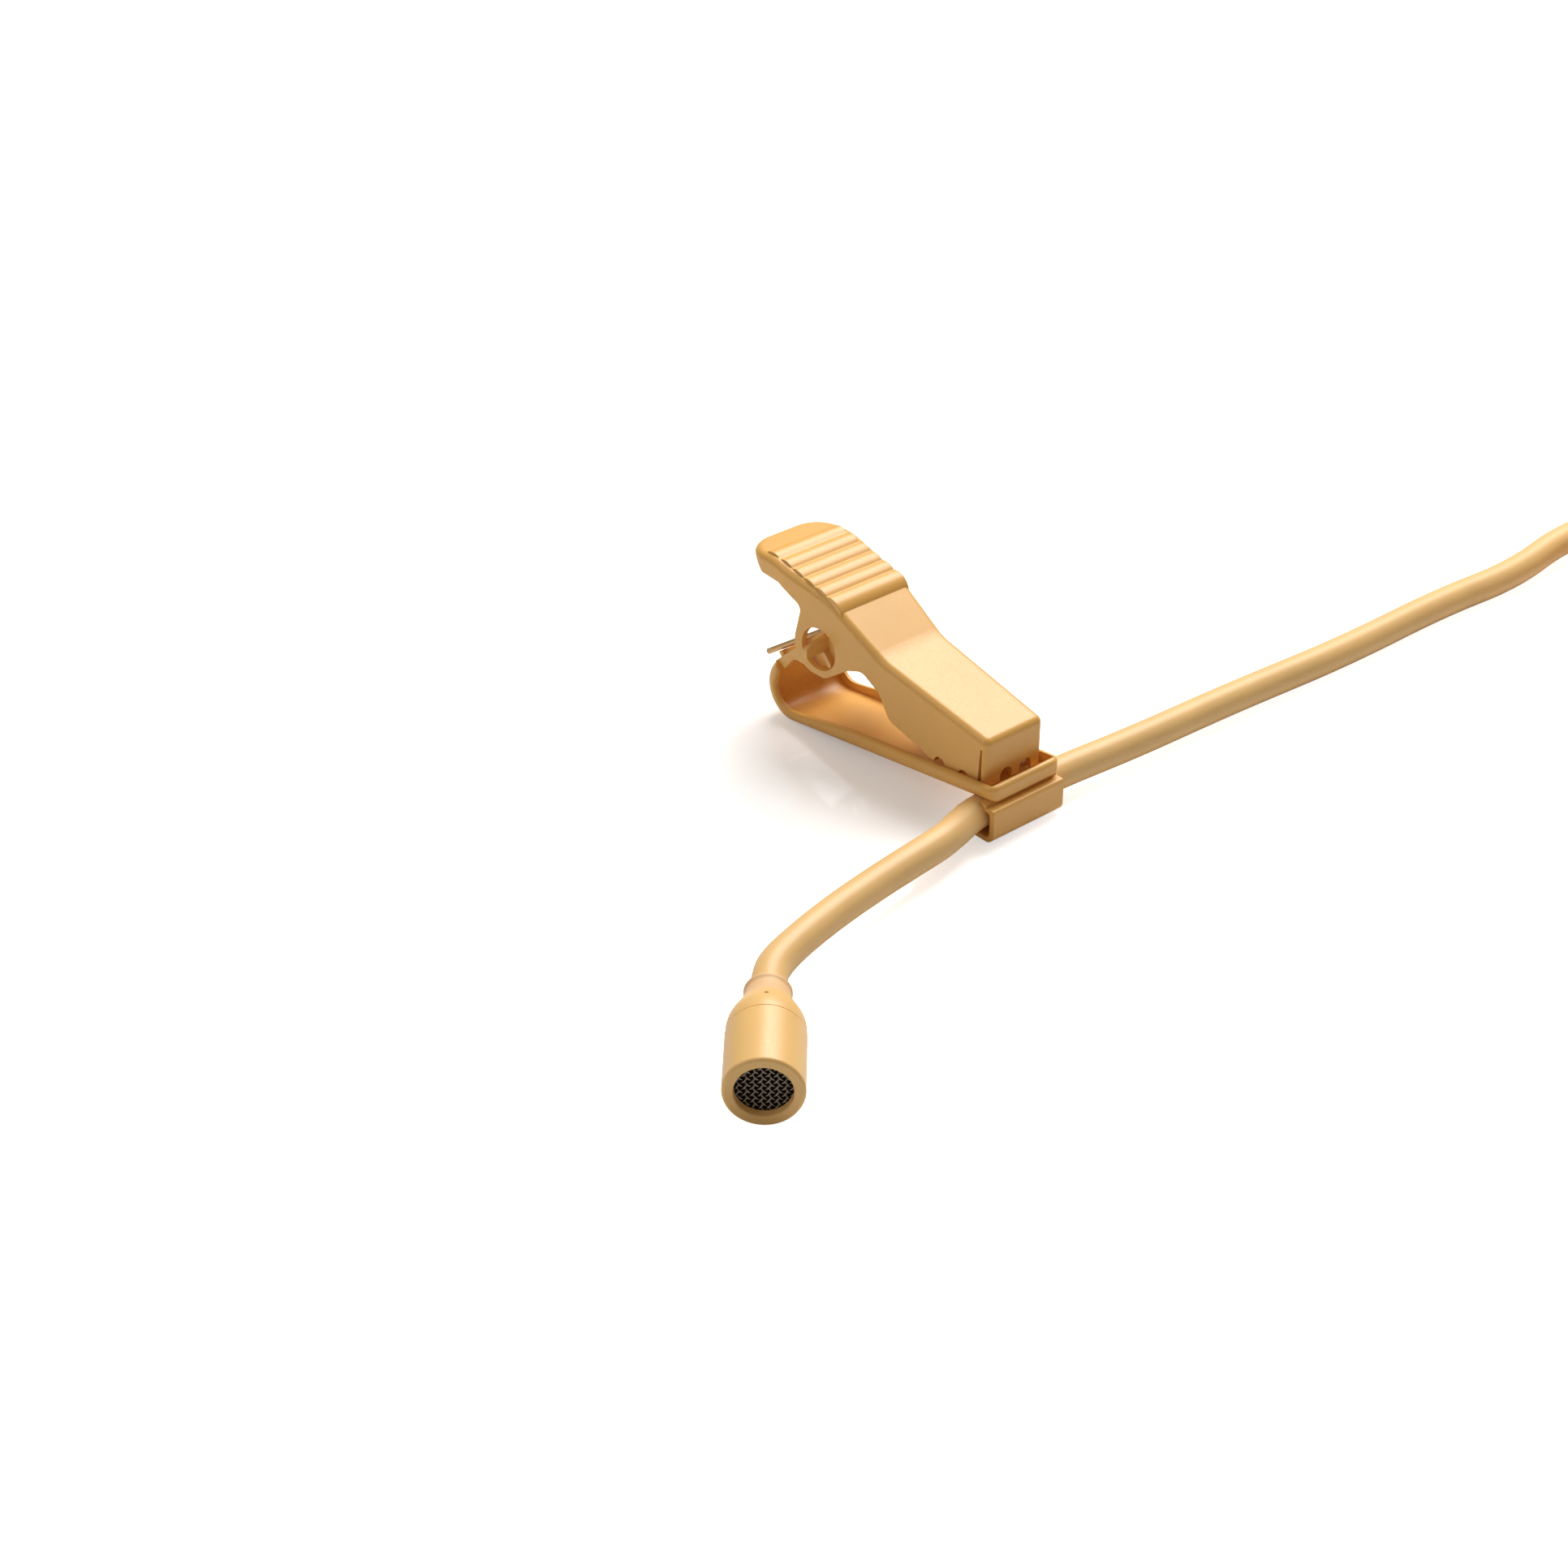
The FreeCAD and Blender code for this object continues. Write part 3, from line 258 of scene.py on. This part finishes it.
CABLE_START = [
    (0.014587, -0.014594, 0.00325),
    (0.013169, -0.01333, 0.00325),
    (0.0119, -0.0115, 0.00322),
    (0.01072, -0.0081, 0.00314),
    (0.00935, -0.0029, 0.00298),
    (0.00825, 0.003, 0.0028),
    (0.0075, 0.0082, 0.00267),
    (0.00695, 0.0122, 0.00256),
    (0.0054, 0.0164, 0.00245),
    (0.0054, 0.0205, 0.00245),
    (0.0054, 0.0269, 0.00245),
    (0.00595, 0.0365, 0.0022),
    (0.0059, 0.05, 0.00175),
    (0.00675, 0.065, 0.0015),
    (0.0066, 0.08, 0.0015),
    (0.0077, 0.0905, 0.00155),
]
CABLE_END = [(0.0603, 0.0925, 0.0049), (0.0603, 0.084, 0.0049)]
# how far before the coil's start and after its end the cable's free points lie
ARRIVE = (0.0115, 0.003)
LEAVE = (0.003, 0.01)


def coil_point(turn):
    """The cable's middle after so many turns: in along the lower layer, and out again along the upper one."""
    half = COIL_TURNS / 2
    radius = COIL_RADIUS - COIL_STEP * half / 2 + COIL_STEP * abs(turn - half)
    radius /= math.cos(math.pi / COIL_POINTS_PER_TURN)
    climb = min(max((turn - half) * 2 + 0.5, 0), 1)
    rise = COIL_STEP * (1 - math.cos(math.pi * climb)) / 2
    angle = math.pi - 2 * math.pi * turn
    return COIL + Vector((radius * math.cos(angle), radius * math.sin(angle), rise))


def cable():
    count = int(COIL_TURNS * COIL_POINTS_PER_TURN)
    turns = [coil_point(k / COIL_POINTS_PER_TURN) for k in range(count + 1)]
    arrive = (turns[1] - turns[0]).normalized()
    leave = (turns[-1] - turns[-2]).normalized()
    points = [Vector(p) for p in CABLE_START] + [turns[0] - arrive * before for before in ARRIVE]
    points += turns + [turns[-1] + leave * after for after in LEAVE] + [Vector(p) for p in CABLE_END]
    curve = bpy.data.curves.new("cable", "CURVE")
    curve.dimensions = "3D"
    spline = curve.splines.new("NURBS")
    spline.points.add(len(points) - 1)
    for spot, point in zip(spline.points, points):
        spot.co = (*point, 1)
    spline.order_u = 3
    spline.use_endpoint_u = True
    spline.resolution_u = 6
    curve.bevel_depth = CABLE_DIAMETER / 2
    curve.bevel_resolution = 5
    made = link("cable", curve, JACKET)
    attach(made, "microphone")
    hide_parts("cable_front", "cable_rear", "cable_coil", "cable_tail")


# The capsule


def capsule_point(along, right, up):
    turn = Matrix.Rotation(CAPSULE_HEADING, 3, "Z")
    return CAPSULE + turn @ Vector((along, right, up))


GRILLE_MIDDLE = 0.011075
GRILLE_REACH = 0.00275
WIRE_PITCH = 0.00044
WIRE_RADIUS = 0.000085
# how far a wire swings to each side of the mesh's middle, in wire radii
WEAVE = 0.95


def grille():
    """A plain weave of fine wires laid at 45 degrees, each going over and under the ones across it."""
    mesh = bmesh.new()
    count = int(GRILLE_REACH / WIRE_PITCH)
    slant = math.sqrt(0.5)
    for across in (False, True):
        for row in range(-count, count + 1):
            offset = row * WIRE_PITCH
            reach = math.sqrt(max(GRILLE_REACH ** 2 - offset ** 2, 0))
            steps = max(int(reach / WIRE_PITCH * 5), 2)
            points = []
            for k in range(-steps, steps + 1):
                run = reach * k / steps
                over = math.cos(math.pi * (run / WIRE_PITCH + row + across))
                depth = GRILLE_MIDDLE + over * WIRE_RADIUS * WEAVE
                x, y = (run, offset) if across else (offset, run)
                points.append(capsule_point(depth, (x + y) * slant, (x - y) * slant))
            wire = tube_mesh("wire", points, WIRE_RADIUS, sides=8)
            mesh.from_mesh(wire)
            bpy.data.meshes.remove(wire)
    for face in mesh.faces:
        face.smooth = len(face.verts) == 4
    data = bpy.data.meshes.new("woven_grille")
    mesh.to_mesh(data)
    mesh.free()
    made = link("woven_grille", data, WIRE)
    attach(made, "microphone")
    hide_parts("front_grille")


# The clip

SPRING_RADIUS = 0.00132
SPRING_HALF = 0.00145
SPRING_WIRE = 0.0006
SPRING_DOWN = math.radians(215)
SPRING_UP = math.radians(122)
LOWER_LEG = 0.0102
UPPER_LEG = 0.00775
LEG_STEPS = 12
COIL_STEPS = 132


def spring():
    """The wound wire: its near leg lies along the lower jaw and its far one along the lever."""
    first = SPRING_DOWN - math.pi / 2
    sweep = first - (SPRING_UP + math.pi / 2 - 2 * math.pi) + 4 * math.pi
    rate = 2 * SPRING_HALF / sweep

    def place(turned):
        angle = first - turned
        circle = Vector((math.cos(angle), 0, math.sin(angle))) * SPRING_RADIUS
        return PIVOT + circle + Vector((0, rate * turned - SPRING_HALF, 0))

    def heading(turned):
        angle = first - turned
        return Vector((SPRING_RADIUS * math.sin(angle), rate, -SPRING_RADIUS * math.cos(angle))).normalized()

    lower = [place(0) - heading(0) * LOWER_LEG * (LEG_STEPS - k) / LEG_STEPS for k in range(LEG_STEPS)]
    coils = [place(sweep * k / COIL_STEPS) for k in range(COIL_STEPS + 1)]
    upper = [coils[-1] + heading(sweep) * UPPER_LEG * k / LEG_STEPS for k in range(1, LEG_STEPS + 1)]
    data = tube_mesh("spring_wire", lower + coils + upper, SPRING_WIRE / 2)
    made = link("spring_wire", data, SPRING)
    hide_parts("torsion_spring")
    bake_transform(made)


# The floor and the light

WARM_LIGHT = (0.20, 0.17, 0.13, 1)
WHITE_SEEN = (1, 1, 1, 1)
FLOOR_REACH = 4
# just below the object, so that nothing lies in the floor
FLOOR_DROP = 0.00002
FLOOR_WHITE = (0.93, 0.93, 0.93, 1)
FLOOR_GLOSS = 0.1
# the floor's glow for the camera: least round this place under the clip, and most from the far distance on
SHADOW_MIDDLE = (-0.010, 0.014, 0)
GLOW_NEAR, GLOW_FAR = 0.008, 0.026
GLOW_LEAST, GLOW_MOST = 0.28, 0.88


def make_world():
    """White where the camera sees it, and a dim warm light everywhere else."""
    world = bpy.data.worlds.new("world")
    world.use_nodes = True
    bpy.context.scene.world = world
    tree = world.node_tree
    background = tree.nodes["Background"]
    seen = add(tree, "LightPath").outputs["Is Camera Ray"]
    colour = add(tree, "MixRGB", {"Fac": seen, "Color1": WARM_LIGHT, "Color2": WHITE_SEEN})
    tree.links.new(colour.outputs[0], background.inputs["Color"])
    background.inputs["Strength"].default_value = 1


def make_floor():
    """A white glossy floor that glows a little for the camera, so that most of it shows as plain white."""
    data = bpy.data.meshes.new("floor")
    signs = ((-1, -1), (1, -1), (1, 1), (-1, 1))
    data.from_pydata([(FLOOR_REACH * x, FLOOR_REACH * y, 0) for x, y in signs], [], [(0, 1, 2, 3)])
    floor = bpy.data.objects.new("floor", data)
    floor.location.z = -FLOOR_DROP
    bpy.context.scene.collection.objects.link(floor)
    made = bpy.data.materials.new("floor")
    made.use_nodes = True
    tree = made.node_tree
    surface = tree.nodes["Principled BSDF"]
    surface.inputs["Base Color"].default_value = FLOOR_WHITE
    surface.inputs["Roughness"].default_value = FLOOR_GLOSS
    path = add(tree, "LightPath")
    place = add(tree, "TexCoord").outputs["Object"]
    apart = add(tree, "VectorMath", {0: place, 1: SHADOW_MIDDLE}, operation="DISTANCE").outputs["Value"]
    reach = {"Value": apart, "From Min": GLOW_NEAR, "From Max": GLOW_FAR}
    reach.update({"To Min": GLOW_LEAST, "To Max": GLOW_MOST})
    haze = add(tree, "MapRange", reach, interpolation_type="SMOOTHSTEP")
    strength = add(tree, "Math", {0: path.outputs["Is Camera Ray"], 1: haze.outputs["Result"]},
                   operation="MULTIPLY")
    glow = add(tree, "Emission", {"Color": WHITE_SEEN, "Strength": strength.outputs[0]})
    both = add(tree, "AddShader")
    tree.links.new(surface.outputs[0], both.inputs[0])
    tree.links.new(glow.outputs[0], both.inputs[1])
    tree.links.new(both.outputs[0], tree.nodes["Material Output"].inputs["Surface"])
    data.materials.append(made)


make_camera()
dress_cad_nodes()
cable()
grille()
spring()
make_floor()
make_world()
lamp("softbox", (0.12, 0.29, 0.43), size=0.36, power=3.3)
lamp("fill", (-0.35, -0.12, 0.30), size=0.3, power=0.35)
bpy.context.scene.view_settings.view_transform = "Standard"
